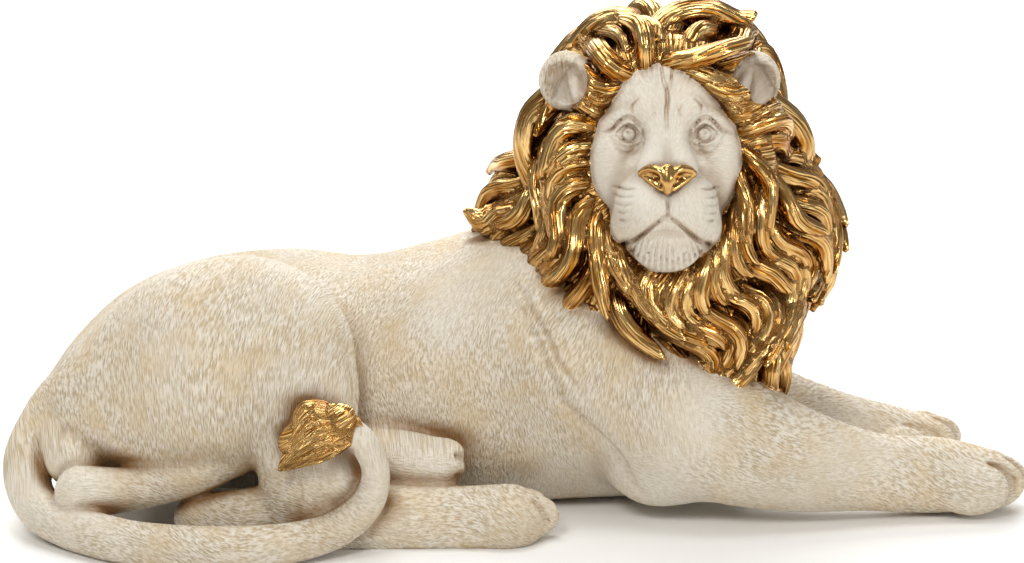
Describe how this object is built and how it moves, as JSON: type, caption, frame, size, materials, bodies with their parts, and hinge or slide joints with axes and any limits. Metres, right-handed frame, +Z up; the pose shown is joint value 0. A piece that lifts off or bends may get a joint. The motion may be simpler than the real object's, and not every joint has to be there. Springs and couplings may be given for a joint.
{
  "type": "reclining lion figurine",
  "caption": "Reclining lion figurine cast in one piece, head turned to its right, with a carved wavy mane, long forelegs and a curled tail; a decoration that stands on its own underside.",
  "frame": {"origin": "on the floor under the middle of the figure's outline", "axes": "+X the way the lion lies, from rump to forepaws; -Y the side its face turns to; +Z up"},
  "size_m": [0.5944, 0.2508, 0.2987],
  "materials": {
    "painted_resin": "antique cream paint, with gold leaf paint on the mane, nose and tail tuft"
  },
  "bodies": {
    "root": {"lion": "painted_resin"}
  },
  "joints": []
}
